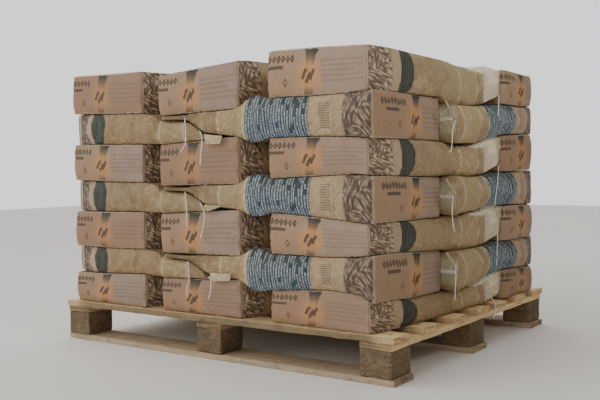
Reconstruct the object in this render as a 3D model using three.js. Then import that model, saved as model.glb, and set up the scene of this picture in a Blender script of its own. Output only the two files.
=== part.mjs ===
import * as THREE from "three";

// A pallet of sacks: 35 block-bottom paper sacks of fuel pellets, five to a layer in seven layers,
// on a flat wooden pallet. Each layer is the one below turned half round, so the joints cross.
// X runs along the pallet's long side, Y into its depth and Z up. The origin is on the floor,
// under the middle of the pallet. Lengths are in millimetres.

// Pallet
const PALLET_LENGTH = 1200;
const PALLET_DEPTH = 1000;
const RUNNER_WIDTH = 100;
const RUNNER_THICKNESS = 17;
const RUNNER_SET_BACK = 8;
const BLOCK_LENGTH = 90;
const BLOCK_WIDTH = 98;
const BLOCK_HEIGHT = 70;
const BLOCK_SET_BACK = 8;
const STRINGER_WIDTH = 92;
const STRINGER_THICKNESS = 17;
const DECK_BOARD_WIDTH = 85;
const DECK_THICKNESS = 17.5;
const DECK_BOARD_GAPS = [73, 87, 69, 49, 65, 62];

// Sacks. The layers of end-on sacks in front stand higher than the ones between them.
const LAYER_HEIGHTS = [99, 78, 112, 97, 115, 90, 120];
const LAYER_GAP = 0.3;
const SACK_HALF_WIDTH = 190;
const NARROW_HALF_WIDTH = 185;
const LENGTHWISE_HALF_WIDTH = 175;
const SLIM_END_HALF_WIDTH = 124;
const END_HALF_WIDTH = 152;
const WIDE_END_HALF_WIDTH = 165;
const END_CORNER = 6;
const SIDE_BULGE = 40;
const BULGE_STEPS = 4;

// Places of the sacks in a layer
const END_ON_FACE = 485;
const END_ON_REACH = 632;
const TURNED_REACH = 622;
const ODD_LENGTHWISE_FACE = 588;
const EVEN_LEFT_FACE = 592;
const EVEN_RIGHT_FACE = 548;
const LENGTHWISE_MIDDLE = 325;
const HAND_LAID_SHIFT = 1;
const HAND_LAID_TURN = 0.1;

// Colours
const KRAFT_PAPER = new THREE.Color(0.56, 0.45, 0.31);
const SAWN_SOFTWOOD = new THREE.Color(0.66, 0.51, 0.33);
const PRESSED_CHIPWOOD = new THREE.Color(0.37, 0.26, 0.17);

const DECK_TOP = RUNNER_THICKNESS + BLOCK_HEIGHT + STRINGER_THICKNESS + DECK_THICKNESS;

function matteMaterial(color, roughness) {
  return new THREE.MeshStandardMaterial({ color, roughness, metalness: 0 });
}

// Pallet pieces

function board(name, size, middle, material) {
  const mesh = new THREE.Mesh(new THREE.BoxGeometry(...size), material);
  mesh.name = name;
  mesh.position.set(...middle);
  return mesh;
}

const ROWS = { front: -1, middle: 0, back: 1 };
const COLUMNS = { left: -1, middle: 0, right: 1 };
const ROW_REACH = (PALLET_DEPTH - RUNNER_WIDTH) / 2;
const COLUMN_REACH = (PALLET_LENGTH - BLOCK_LENGTH) / 2 - BLOCK_SET_BACK;

// Three runner boards lie on the floor along the long side, short of the deck at the left end
function runnerBoards() {
  const size = [PALLET_LENGTH - RUNNER_SET_BACK, RUNNER_WIDTH, RUNNER_THICKNESS];
  return Object.entries(ROWS).map(([row, side]) => {
    const middle = [RUNNER_SET_BACK / 2, side * ROW_REACH, RUNNER_THICKNESS / 2];
    return board(`runner_board_${row}`, size, middle, matteMaterial(SAWN_SOFTWOOD, 0.85));
  });
}

// Nine pressed blocks stand on the runners
function blocks() {
  const size = [BLOCK_LENGTH, BLOCK_WIDTH, BLOCK_HEIGHT];
  const height = RUNNER_THICKNESS + BLOCK_HEIGHT / 2;
  return Object.entries(ROWS).flatMap(([row, rowSide]) =>
    Object.entries(COLUMNS).map(([column, columnSide]) => {
      const middle = [columnSide * COLUMN_REACH, rowSide * ROW_REACH, height];
      return board(`block_${row}_${column}`, size, middle, matteMaterial(PRESSED_CHIPWOOD, 0.95));
    }),
  );
}

// Three stringer boards cross the blocks from front to back
function stringerBoards() {
  const size = [STRINGER_WIDTH, PALLET_DEPTH, STRINGER_THICKNESS];
  const height = RUNNER_THICKNESS + BLOCK_HEIGHT + STRINGER_THICKNESS / 2;
  return Object.entries(COLUMNS).map(([column, side]) => {
    const middle = [side * COLUMN_REACH, 0, height];
    return board(`stringer_board_${column}`, size, middle, matteMaterial(SAWN_SOFTWOOD, 0.85));
  });
}

// Seven deck boards lie across the stringers, unevenly spaced as they were nailed
function deckBoards() {
  const size = [PALLET_LENGTH, DECK_BOARD_WIDTH, DECK_THICKNESS];
  const boards = [];
  let middle = (DECK_BOARD_WIDTH - PALLET_DEPTH) / 2;
  for (let number = 1; number <= DECK_BOARD_GAPS.length + 1; number += 1) {
    const place = [0, middle, DECK_TOP - DECK_THICKNESS / 2];
    boards.push(board(`deck_board_${number}`, size, place, matteMaterial(SAWN_SOFTWOOD, 0.85)));
    middle += DECK_BOARD_WIDTH + (DECK_BOARD_GAPS[number - 1] ?? 0);
  }
  return boards;
}

// Sack pieces. A sack is a row of cross-sections from its printed flat bottom to its sewn mouth.
// A section has its distance from the bottom, half its width, the depth of the bulge of its sides,
// and its lowest and highest points as shares of the sack's height.

function filledSections(endHalfWidth, halfWidth, bodyLength) {
  const spread = halfWidth - endHalfWidth;
  return [
    { along: 0, half: endHalfWidth, bulge: END_CORNER, low: 0.02, high: 0.98 },
    { along: 18, half: endHalfWidth + 0.18 * spread, bulge: 12, low: 0, high: 1 },
    { along: 60, half: endHalfWidth + 0.42 * spread, bulge: 25, low: 0, high: 1 },
    { along: 130, half: endHalfWidth + 0.75 * spread, bulge: 36, low: 0, high: 1 },
    { along: 240, half: halfWidth, bulge: SIDE_BULGE, low: 0, high: 1 },
    { along: bodyLength, half: halfWidth - 1, bulge: SIDE_BULGE, low: 0, high: 1 },
  ];
}

// The mouths of an end-on sack: turned up against its neighbour, or pinched shut at mid height
function turnedUpMouth(halfWidth, reach) {
  return [
    ...filledSections(END_HALF_WIDTH, halfWidth, reach - 114),
    { along: reach - 28, half: halfWidth - 2, bulge: 24, low: 0.2, high: 1 },
    { along: reach, half: halfWidth - 4, bulge: 8, low: 0.34, high: 0.97 },
  ];
}

function pinchedMouth(halfWidth, reach) {
  return [
    ...filledSections(END_HALF_WIDTH, halfWidth, reach - 90),
    { along: reach - 28, half: halfWidth - 2, bulge: 24, low: 0.2, high: 0.8 },
    { along: reach, half: halfWidth - 4, bulge: 8, low: 0.42, high: 0.58 },
  ];
}

// The mouths of two sacks laid end to end overlap: one tapers upwards and lies on the other
function upperMouth(endHalfWidth) {
  return [
    ...filledSections(endHalfWidth, LENGTHWISE_HALF_WIDTH, 430),
    { along: 504, half: LENGTHWISE_HALF_WIDTH - 2, bulge: 32, low: 0.16, high: 0.98 },
    { along: 560, half: LENGTHWISE_HALF_WIDTH - 3, bulge: 18, low: 0.4, high: 0.92 },
    { along: 620, half: LENGTHWISE_HALF_WIDTH - 5, bulge: 4, low: 0.64, high: 0.74 },
  ];
}

function lowerMouth(endHalfWidth) {
  return [
    ...filledSections(endHalfWidth, LENGTHWISE_HALF_WIDTH, 415),
    { along: 520, half: LENGTHWISE_HALF_WIDTH - 2, bulge: 32, low: 0, high: 0.55 },
    { along: 584, half: LENGTHWISE_HALF_WIDTH - 3, bulge: 14, low: 0.02, high: 0.29 },
    { along: 640, half: LENGTHWISE_HALF_WIDTH - 5, bulge: 4, low: 0.01, high: 0.07 },
  ];
}

// A section's outline: flat top and bottom, and half an ellipse on each side, from the lowest
// point of the right side up, over and down to the lowest point of the left side
function sectionPoints({ along, half, bulge, low, high }, height) {
  const middle = (height * (low + high)) / 2;
  const reach = (height * (high - low)) / 2;
  const points = [];
  for (const side of [1, -1]) {
    for (let step = 0; step <= BULGE_STEPS; step += 1) {
      const angle = side * Math.PI * (step / BULGE_STEPS - 0.5);
      const across = side * (half - bulge + bulge * Math.cos(angle));
      points.push(new THREE.Vector3(along, across, middle + reach * Math.sin(angle)));
    }
  }
  return points;
}

// Skins the sections and closes both ends, with the faces pointing out
function sackGeometry(sections, height) {
  const rings = sections.map((section) => sectionPoints(section, height));
  const count = rings[0].length;
  const index = [];
  for (let ring = 0; ring < rings.length - 1; ring += 1) {
    for (let point = 0; point < count; point += 1) {
      const here = ring * count + point;
      const next = ring * count + ((point + 1) % count);
      index.push(here, next, next + count);
      index.push(here, next + count, here + count);
    }
  }
  const last = (rings.length - 1) * count;
  for (let point = 1; point < count - 1; point += 1) {
    index.push(0, point + 1, point);
    index.push(last, last + point, last + point + 1);
  }
  const geometry = new THREE.BufferGeometry().setFromPoints(rings.flat());
  geometry.setIndex(index);
  geometry.computeVertexNormals();
  return geometry;
}

// The five sacks of a layer: where the middle of the bottom face is, which way the sack points
// from there to its mouth in degrees from +X, and its shape. An even layer is turned half round.
const ODD_LAYER = [
  { name: "front_left", x: -411, y: -END_ON_FACE, turn: 90 },
  { name: "front_middle", x: -37, y: -END_ON_FACE, turn: 90 },
  { name: "front_right", x: 368, y: -END_ON_FACE, turn: 87.6 },
  { name: "back_left", x: -ODD_LENGTHWISE_FACE, y: LENGTHWISE_MIDDLE, turn: 0 },
  { name: "back_right", x: ODD_LENGTHWISE_FACE, y: LENGTHWISE_MIDDLE, turn: 180 },
];
const EVEN_LAYER = [
  { name: "back_right", x: 411, y: END_ON_FACE, turn: -90 },
  { name: "back_middle", x: 37, y: END_ON_FACE, turn: -90 },
  { name: "back_left", x: -368, y: END_ON_FACE, turn: -92.4 },
  { name: "front_right", x: EVEN_RIGHT_FACE, y: -LENGTHWISE_MIDDLE, turn: 180 },
  { name: "front_left", x: -EVEN_LEFT_FACE, y: -LENGTHWISE_MIDDLE, turn: 0 },
];
const ODD_SHAPES = [
  turnedUpMouth(NARROW_HALF_WIDTH, END_ON_REACH),
  turnedUpMouth(NARROW_HALF_WIDTH, END_ON_REACH),
  turnedUpMouth(SACK_HALF_WIDTH, TURNED_REACH),
  upperMouth(SLIM_END_HALF_WIDTH),
  lowerMouth(SLIM_END_HALF_WIDTH),
];
const EVEN_SHAPES = [
  pinchedMouth(NARROW_HALF_WIDTH, END_ON_REACH),
  pinchedMouth(NARROW_HALF_WIDTH, END_ON_REACH),
  pinchedMouth(SACK_HALF_WIDTH, TURNED_REACH),
  upperMouth(WIDE_END_HALF_WIDTH),
  lowerMouth(SLIM_END_HALF_WIDTH),
];

// Each sack lies a little out of line, as laid by hand: a repeating wander from -1 to 1
function wander(layer, place) {
  return Math.sin(2.4 * layer + 1.7 * place);
}

function sack(layer, place, bottom) {
  const odd = layer % 2 === 1;
  const plan = (odd ? ODD_LAYER : EVEN_LAYER)[place];
  const shape = (odd ? ODD_SHAPES : EVEN_SHAPES)[place];
  const geometry = sackGeometry(shape, LAYER_HEIGHTS[layer - 1] - LAYER_GAP);
  const mesh = new THREE.Mesh(geometry, matteMaterial(KRAFT_PAPER, 0.8));
  mesh.name = `sack_${layer}_${plan.name}`;
  mesh.position.set(plan.x + HAND_LAID_SHIFT * wander(layer, place), plan.y, bottom);
  mesh.rotation.z = THREE.MathUtils.degToRad(plan.turn + HAND_LAID_TURN * wander(place, layer));
  return mesh;
}

const loadedPallet = new THREE.Group();
loadedPallet.add(...runnerBoards(), ...blocks(), ...stringerBoards(), ...deckBoards());
let layerBottom = DECK_TOP;
for (let layer = 1; layer <= LAYER_HEIGHTS.length; layer += 1) {
  for (let place = 0; place < ODD_LAYER.length; place += 1) {
    loadedPallet.add(sack(layer, place, layerBottom));
  }
  layerBottom += LAYER_HEIGHTS[layer - 1];
}

export default loadedPallet;
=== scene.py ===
import math
from functools import partialmethod

import bpy
import numpy as np
from mathutils import Matrix, Vector


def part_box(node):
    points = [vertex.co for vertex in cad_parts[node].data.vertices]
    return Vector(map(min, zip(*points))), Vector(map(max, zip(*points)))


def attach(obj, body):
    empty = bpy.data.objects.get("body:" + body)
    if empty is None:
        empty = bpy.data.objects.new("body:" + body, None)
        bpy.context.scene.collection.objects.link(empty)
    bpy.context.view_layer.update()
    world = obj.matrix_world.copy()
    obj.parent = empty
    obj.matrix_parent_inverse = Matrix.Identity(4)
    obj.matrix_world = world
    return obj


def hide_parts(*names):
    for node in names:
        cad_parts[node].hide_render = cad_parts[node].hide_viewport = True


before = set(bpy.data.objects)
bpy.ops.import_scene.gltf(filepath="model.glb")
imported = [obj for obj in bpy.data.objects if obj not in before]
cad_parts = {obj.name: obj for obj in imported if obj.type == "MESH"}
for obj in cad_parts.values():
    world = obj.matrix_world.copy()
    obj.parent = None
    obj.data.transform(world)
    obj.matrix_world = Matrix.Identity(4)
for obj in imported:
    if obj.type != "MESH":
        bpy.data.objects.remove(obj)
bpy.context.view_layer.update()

# Camera.
# It stands at the pallet's right front corner at about the height of the fourth layer, looks
# slightly down, and is rolled a little, as the photograph was taken by hand.
AZIMUTH, DOWN, ROLL = (math.radians(angle) for angle in (35.66, 2.41, -0.82))
CAMERA_STAND = (1.65879, -2.3576, 0.55095)
FOCAL_SHARE = 882.75 / 600
camera = bpy.data.objects.new("camera", bpy.data.cameras.new("camera"))
camera.data.sensor_width = 36.0
camera.data.lens = camera.data.sensor_width * FOCAL_SHARE
camera.matrix_world = (
    Matrix.Translation(CAMERA_STAND) @ Matrix.Rotation(AZIMUTH, 4, "Z")
    @ Matrix.Rotation(math.pi / 2 - DOWN, 4, "X") @ Matrix.Rotation(ROLL, 4, "Z")
)
bpy.context.scene.collection.objects.link(camera)
bpy.context.scene.camera = camera


# Runner boards.
# Three sawn softwood boards lie on the floor along the pallet's long side. Their edges are worn
# round, and saw marks and open grain run along them.
RUNNER_CELLS = (64, 8, 3)
RUNNER_WEAR = 0.0022
RUNNER_WOOD = [
    (186, 164, 134), (164, 140, 110), (130, 108, 82), (98, 74, 52), (158, 146, 128), (104, 90, 72)
]


def paint(red, green, blue):
    """A colour seen on a screen, in steps of 0 to 255, as the linear colour a shader mixes."""
    shade = np.array([red, green, blue]) / 255
    linear = np.where(shade < 0.04045, shade / 12.92, ((shade + 0.055) / 1.055) ** 2.4)
    return (*linear.tolist(), 1.0)


class Amount:
    """A number or colour in a material's nodes: each sum or product of amounts adds its node."""

    def __init__(self, tree, socket):
        self.tree, self.socket = tree, socket

    def worked(self, operation, *others):
        return added(self.tree, "Math", dict(enumerate((self, *others))), operation=operation)

    __add__ = partialmethod(worked, "ADD")
    __sub__ = partialmethod(worked, "SUBTRACT")
    __mul__ = partialmethod(worked, "MULTIPLY")
    __truediv__ = partialmethod(worked, "DIVIDE")
    size = partialmethod(worked, "ABSOLUTE")
    least = partialmethod(worked, "MINIMUM")
    most = partialmethod(worked, "MAXIMUM")
    whole = partialmethod(worked, "FLOOR")
    part = partialmethod(worked, "FRACT")

    def flip(self):
        return self * -1 + 1

    def far(self, other):
        """How far a point is from the origin, from its two places."""
        return (self * self + other * other).worked("POWER", 0.5)

    def over(self, edge, soft):
        """0 below the edge and 1 above it, passing smoothly from one to the other."""
        ends = {0: self, "From Min": edge - soft, "From Max": edge + soft}
        return added(self.tree, "MapRange", ends, interpolation_type="SMOOTHSTEP")

    def under(self, edge, soft):
        return self.over(edge, soft).flip()

    def within(self, edge, soft):
        return self.size().under(edge, soft)

    def between(self, low, high, soft):
        return self.over(low, soft) * self.under(high, soft)


def fill(node, values):
    """Links amounts to a node's inputs, named or numbered, and sets plain numbers on them."""
    for key, value in values.items():
        if isinstance(value, Amount):
            value.tree.links.new(value.socket, node.inputs[key])
        else:
            node.inputs[key].default_value = value


def added(tree, kind, values, output=0, **settings):
    """What comes out of a new node with these settings and inputs."""
    node = tree.nodes.new("ShaderNode" + kind)
    for name, setting in settings.items():
        setattr(node, name, setting)
    fill(node, values)
    return Amount(tree, node.outputs[output])


class Finish:
    """A material, with the patterns and mixes that the finishes of this part are made from."""

    def __init__(self, name, roughness):
        self.material = bpy.data.materials.new(name)
        self.material.use_nodes = True
        self.tree = self.material.node_tree
        self.shader = self.tree.nodes["Principled BSDF"]
        self.shader.inputs["Roughness"].default_value = roughness

    def place(self):
        return added(self.tree, "TexCoord", {}, "Object")

    def stretched(self, where, scale, turn=(0, 0, 0)):
        return added(self.tree, "Mapping", {"Vector": where, "Rotation": turn, "Scale": scale})

    def apart(self, where):
        node = added(self.tree, "SeparateXYZ", {0: where}).socket.node
        return [Amount(self.tree, output) for output in node.outputs]

    def joined(self, x, y, z=0.0):
        return added(self.tree, "CombineXYZ", {0: x, 1: y, 2: z})

    def cloud(self, where, scale, detail=3.0, roughness=0.55, warp=0.0):
        """A cloudy pattern of 0 to 1, its patches about a metre over the scale across."""
        return added(self.tree, "TexNoise", {
            "Vector": where, "Scale": scale, "Detail": detail, "Roughness": roughness,
            "Distortion": warp,
        })

    def chance(self, where):
        return added(self.tree, "TexWhiteNoise", {"Vector": where}, noise_dimensions="3D")

    def cells(self, where, scale, kind="3D"):
        """Distance to the nearest cell's middle, the cell's chance numbers, and its middle."""
        values = {"Vector": where, "Scale": scale}
        node = added(self.tree, "TexVoronoi", values, voronoi_dimensions=kind).socket.node
        distance, colour, middle = (Amount(self.tree, output) for output in node.outputs[:3])
        return distance, self.apart(colour), middle

    def mix(self, share, first, second, blend="MIX"):
        """The first colour with a share of the second; a plain colour is as seen on a screen."""
        values = {0: share, 6: first, 7: second}
        for key in (6, 7):
            if isinstance(values[key], tuple):
                values[key] = paint(*values[key])
        return added(self.tree, "Mix", values, 2, data_type="RGBA", blend_type=blend)

    def coated(self, colour, *coats):
        """The colour under coats that are laid on in turn, each a share and a colour."""
        for share, coat in coats:
            colour = self.mix(share, colour, coat)
        return colour

    def lit(self, colour, share):
        """The colour made lighter or darker: it is multiplied by the share."""
        return self.mix(1.0, colour, self.joined(share, share, share), "MULTIPLY")

    def relief(self, height, depth):
        return added(self.tree, "Bump", {"Strength": 1.0, "Distance": depth, "Height": height})

    def done(self, colour, **more):
        fill(self.shader, {"Base Color": colour, **more})
        return self.material


def softwood(name, along, tone, painted_front_shade=0.0, painted_end_light=0.0):
    """Weathered sawn softwood: pale and dark grain drawn out along the board, round knots with the
    grain bent about them, rings on the sawn ends, grey weathering and dirt in patches. The last two
    shares paint light: the first darkens the front and back faces, less beyond the load, a painted
    shade, and the second makes all the other faces paler beyond the load, at the outer ends in x, a
    painted light."""
    wood = Finish(name, 0.8)
    place = wood.place()
    pale, middling, dark, knotty, grey, dirty = tone
    lengthwise = np.array(["x", "y", "z"]) == along
    drawn = wood.stretched(place, np.where(lengthwise, 1.0, 14.0))
    knot, hue, _ = wood.cells(wood.stretched(place, np.where(lengthwise, 1.0, 1.6)), 4.6)
    swerve = knot.under(0.16, 0.16) * 0.35
    grain = wood.joined(*(way + swerve for way in wood.apart(drawn)))
    grain = wood.cloud(grain, 7.0, 6.0, 0.62, 0.6)
    fine = wood.cloud(drawn, 42.0, 3.0, 0.7)
    stain = wood.cloud(place, 5.0, 4.0, 0.6)
    dirt = wood.cloud(place, 26.0, 5.0, 0.7)
    facing = wood.apart(added(wood.tree, "NewGeometry", {}, "Normal"))
    sawn = facing["xy".index(along)].size().over(0.7, 0.1)
    ring = wood.cloud(wood.stretched(place, (1.0, 3.0, 24.0)), 9.0, 3.0, 0.5)
    colour = wood.coated(
        wood.mix(grain.over(0.5, 0.17), pale, middling),
        (fine.over(0.62, 0.1) * 0.5, dark),
        (knot.under(0.07, 0.03) * hue[0].over(0.45, 0.05), knotty),
        (stain.over(0.56, 0.14) * 0.45, grey),
        (sawn * 0.75, wood.mix(ring.over(0.5, 0.12), middling, knotty)),
        (dirt.over(0.6, 0.1) * 0.5, dirty),
    )
    # Painted shade on the front and back faces, less beyond the load, and painted light on all the
    # other faces beyond the load, at the outer ends in x
    fronts = facing[1].size().over(0.5, 0.3)
    beyond = wood.apart(place)[0].size().over(0.54, 0.03)
    colour = wood.lit(colour, (fronts * painted_front_shade * (beyond * 0.8).flip()).flip())
    colour = wood.lit(colour, fronts.flip() * beyond * painted_end_light + 1)
    height = grain * 0.6 + fine * 0.5 + dirt * 0.3
    return wood.done(colour, Roughness=stain * 0.2 + 0.68, Normal=wood.relief(height, 0.0018))


def box_skin(cells):
    """The skin of a block of cells along three axes: the (n, 3) steps of its corners, its quads as
    corner numbers with their faces outward, and which of the six sides each quad is on: 0 and 1
    at the low and high end of the first axis, 2 and 3 of the second, 4 and 5 of the third."""
    count = np.array(cells)
    quads, side = [], []
    for axis in range(3):
        one, two = (axis + 1) % 3, (axis + 2) % 3
        p, q = np.indices((count[one], count[two])).reshape(2, -1, 1)
        for high in (0, 1):
            corner = np.full((p.size, 4, 3), high * count[axis])
            corner[:, :, one] = p + ((0, 1, 1, 0) if high else (0, 0, 1, 1))
            corner[:, :, two] = q + ((0, 0, 1, 1) if high else (0, 1, 1, 0))
            quads.append(corner)
            side.append(np.full(p.size, 2 * axis + high))
    quads = np.concatenate(quads)
    code = (quads[..., 0] * (count[1] + 1) + quads[..., 1]) * (count[2] + 1) + quads[..., 2]
    _, first, number = np.unique(code, return_index=True, return_inverse=True)
    return quads.reshape(-1, 3)[first], number.reshape(-1, 4), np.concatenate(side)


def mesh_piece(name, points, faces, material, sharp=None):
    """An object at the origin made of these points and faces, smooth except over sharp angles."""
    mesh = bpy.data.meshes.new(name)
    mesh.vertices.add(len(points))
    mesh.vertices.foreach_set("co", np.ascontiguousarray(points, np.float32).ravel())
    mesh.loops.add(faces.size)
    mesh.loops.foreach_set("vertex_index", np.ascontiguousarray(faces, np.int32).ravel())
    mesh.polygons.add(len(faces))
    starts = np.arange(len(faces), dtype=np.int32) * faces.shape[1]
    mesh.polygons.foreach_set("loop_start", starts)
    mesh.update(calc_edges=True)
    mesh.shade_smooth()
    if sharp is not None:
        mesh.set_sharp_from_angle(angle=math.radians(sharp))
    mesh.materials.append(material)
    made = bpy.data.objects.new(name, mesh)
    bpy.context.scene.collection.objects.link(made)
    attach(made, "root")
    return made


def unit(vectors):
    return vectors / np.linalg.norm(vectors, axis=-1, keepdims=True)


def waves(points, seed, length, count=20):
    """A smooth wander from about -1 to 1: the sum of count sine waves that run in chance
    directions through the points, each with a wavelength of 0.7 to 1.6 times the length."""
    chance = np.random.default_rng(seed)
    heading = chance.normal(size=(3, count))
    heading /= np.linalg.norm(heading, axis=0)
    pace = 2 * math.pi / (length * chance.uniform(0.7, 1.6, count))
    start = chance.uniform(0, 2 * math.pi, count)
    return np.sin(points @ (heading * pace) + start).sum(1) / math.sqrt(count)


CROWDED = 0.82
CHIP_LENGTHS = (0.05, 0.15)
CHIP_LIMITS = (0.3, 2.2)
SAW_DEPTH, SAW_LENGTH = 0.0005, 0.03
SHARP_WOOD = 60


def worn_board(node, cells, material, wear, seed):
    """A board in its CAD solid's place: the skin of a block of cells, crowded towards the edges,
    whose corners are drawn onto a box with edges of radius wear, more where they are chipped. The
    faces then wander in and out by half a millimetre, as sawn wood does."""
    low, high = (np.array(corner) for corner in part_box(node))
    middle, half = (low + high) / 2, (high - low) / 2
    steps, quads, _ = box_skin(cells)
    spread = steps / np.array(cells) * 2 - 1
    flat = np.sign(spread) * np.abs(spread) ** CROWDED * half
    chips = 1
    for number, length in enumerate(CHIP_LENGTHS):
        chips = chips + 0.5 * waves(flat, seed + number, length)
    chips = wear * chips.clip(*CHIP_LIMITS)[:, None]
    core = np.clip(flat, chips - half, half - chips)
    away = unit(flat - core)
    points = middle + core + away * chips
    points += away * (SAW_DEPTH * waves(flat, seed + 2, SAW_LENGTH))[:, None]
    points[:, 2] = np.maximum(points[:, 2], 0.0)
    piece = mesh_piece(node + "_worn", points, quads, material, SHARP_WOOD)
    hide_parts(node)


runner_wood = softwood("runner board softwood", "x", RUNNER_WOOD)
for number, row in enumerate(("front", "middle", "back")):
    node = f"runner_board_{row}"
    worn_board(node, RUNNER_CELLS, runner_wood, RUNNER_WEAR, 10 + number)

# Blocks.
# Nine blocks of pressed wood chips and resin carry the pallet, three on each runner board. They
# are dark, speckled with chips of every brown, and their edges have crumbled a little.
BLOCK_CELLS = (16, 16, 14)
BLOCK_WEAR = 0.0025


def chipwood():
    """Pressed chipwood: flat chips of many browns, each its own shade, with dark resin between
    them, a coarser set over a finer one, and soil rubbed in."""
    chips = Finish("pressed chipwood", 0.9)
    place = chips.stretched(chips.place(), (1.0, 1.0, 1.7))
    shift = chips.cloud(place, 60.0, 2.0) * 0.012
    moved = chips.joined(*(way + shift for way in chips.apart(place)))
    _, coarse, _ = chips.cells(moved, 150.0)
    _, fine, _ = chips.cells(moved, 420.0)
    soil = chips.cloud(place, 14.0, 4.0, 0.6)
    colour = chips.coated(
        chips.mix(coarse[0], (100, 83, 60), (148, 125, 92)),
        (fine[1] * 0.40, (84, 69, 50)),
        (fine[0].over(0.88, 0.05) * 0.5, (184, 160, 120)),
        (soil.over(0.52, 0.2) * 0.5, (66, 52, 40)),
    )
    return chips.done(colour, Normal=chips.relief(coarse[2] * 0.6 + fine[2] * 0.5, 0.0022))


chipwood_finish = chipwood()
for row_number, row in enumerate(("front", "middle", "back")):
    for column_number, column in enumerate(("left", "middle", "right")):
        node, seed = f"block_{row}_{column}", 30 + 5 * (3 * row_number + column_number)
        worn_board(node, BLOCK_CELLS, chipwood_finish, BLOCK_WEAR, seed)

# Stringer boards.
# Three sawn softwood boards lie across the blocks from front to back, nailed to them, and hold
# the deck. Beyond the load they are painted paler, a painted light where the load doesn't shade
# them, and their front and back faces darker, a painted shade.
STRINGER_CELLS = (8, 56, 3)
STRINGER_WEAR = 0.0020
STRINGER_WOOD = [
    (192, 164, 122), (164, 136, 96), (132, 106, 73), (100, 76, 50), (160, 144, 114), (102, 86, 62)
]
# Painted shade on the stringers' front and back faces, painted light on their other faces beyond
# the load
stringer_wood = softwood("stringer board softwood", "y", STRINGER_WOOD, painted_front_shade=0.30, painted_end_light=0.85)
for number, column in enumerate(("left", "middle", "right")):
    node, seed = f"stringer_board_{column}", 90 + 5 * number
    worn_board(node, STRINGER_CELLS, stringer_wood, STRINGER_WEAR, seed)

# Deck boards.
# Seven sawn softwood boards are nailed across the stringers, unevenly spaced. They are the palest
# and the most worn of the pallet's boards.
DECK_CELLS = (72, 8, 3)
DECK_WEAR = 0.0028
DECK_WOOD = [
    (214, 184, 136), (188, 158, 112), (152, 122, 84), (114, 86, 56), (178, 158, 124), (114, 94, 68)
]
# Painted shade darkens the deck boards' front and back faces, and painted light makes their other
# faces paler beyond the load
deck_wood = softwood("deck board softwood", "x", DECK_WOOD, painted_front_shade=0.60, painted_end_light=0.50)
for number in range(1, 8):
    node, seed = f"deck_board_{number}", 110 + 5 * number
    worn_board(node, DECK_CELLS, deck_wood, DECK_WEAR, seed)

# Pallet nails.
# Ring-shank nails hold each board to the one under it, three in a crossing. Only their flat round
# heads show, pressed level with the wood and a little rusty.
NAIL_HEAD_RADIUS = 0.0042
NAIL_SIDES = 8
NAIL_PROFILE = ((1.0, -0.0015), (1.0, -0.0001), (0.85, 0.0002))
NAIL_FOOT, NAIL_TOP = -0.0015, 0.0003
NAIL_STANDS = 0.0002
SHARP_NAIL = 40
NAIL_SPOTS = ((0.25, 0.28), (0.72, 0.5), (0.3, 0.74))
NAIL_WANDER = 0.006


def rusty_steel():
    """Dull nail steel with brown rust in spots."""
    steel = Finish("rusty nail steel", 0.55)
    rust = steel.cloud(steel.place(), 700.0, 3.0)
    colour = steel.mix(rust.over(0.5, 0.1), (120, 112, 104), (98, 62, 40))
    return steel.done(colour, Metallic=0.7, Roughness=rust * 0.3 + 0.4)


def tube_faces(rings, sides):
    """The triangles between rings of points that follow each other, and from the first and the
    last ring to the two points that come after all the rings and close the ends."""
    ring, around = np.divmod(np.arange((rings - 1) * sides), sides)
    here, beside = ring * sides + around, ring * sides + (around + 1) % sides
    around = np.arange(sides)
    after, last = (around + 1) % sides, (rings - 1) * sides
    return np.vstack([
        np.column_stack([here, beside, beside + sides]),
        np.column_stack([here, beside + sides, here + sides]),
        np.column_stack([after, around, np.full(sides, rings * sides)]),
        np.column_stack([last + around, last + after, np.full(sides, rings * sides + 1)]),
    ])


def nail_heads(name, middles, material):
    """Low round heads: a profile of three rings, rising from the wood to a flat top, is turned
    about each middle, and a point closes the top and another the foot."""
    turn = np.linspace(0, 2 * math.pi, NAIL_SIDES, endpoint=False)
    circle = np.column_stack([np.cos(turn), np.sin(turn)]) * NAIL_HEAD_RADIUS
    rings = [np.column_stack([circle * wide, np.full(NAIL_SIDES, up)]) for wide, up in NAIL_PROFILE]
    head = np.vstack([*rings, (0, 0, NAIL_FOOT), (0, 0, NAIL_TOP)])
    points = (np.asarray(middles)[:, None] + head).reshape(-1, 3)
    faces = tube_faces(len(NAIL_PROFILE), NAIL_SIDES)
    starts = len(head) * np.arange(len(middles))[:, None, None]
    mesh_piece(name, points, (faces + starts).reshape(-1, 3), material, SHARP_NAIL)


nail_chance = np.random.default_rng(7)
nail_middles = []
for number in range(1, 8):
    low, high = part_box(f"deck_board_{number}")
    for column in ("left", "middle", "right"):
        stringer_low, stringer_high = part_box(f"stringer_board_{column}")
        for share_x, share_y in NAIL_SPOTS:
            wander = nail_chance.uniform(-NAIL_WANDER, NAIL_WANDER, 2)
            nail_middles.append((
                stringer_low.x + share_x * (stringer_high.x - stringer_low.x) + wander[0],
                low.y + share_y * (high.y - low.y) + wander[1],
                high.z + NAIL_STANDS,
            ))
nail_heads("pallet_nails", nail_middles, rusty_steel())

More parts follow.
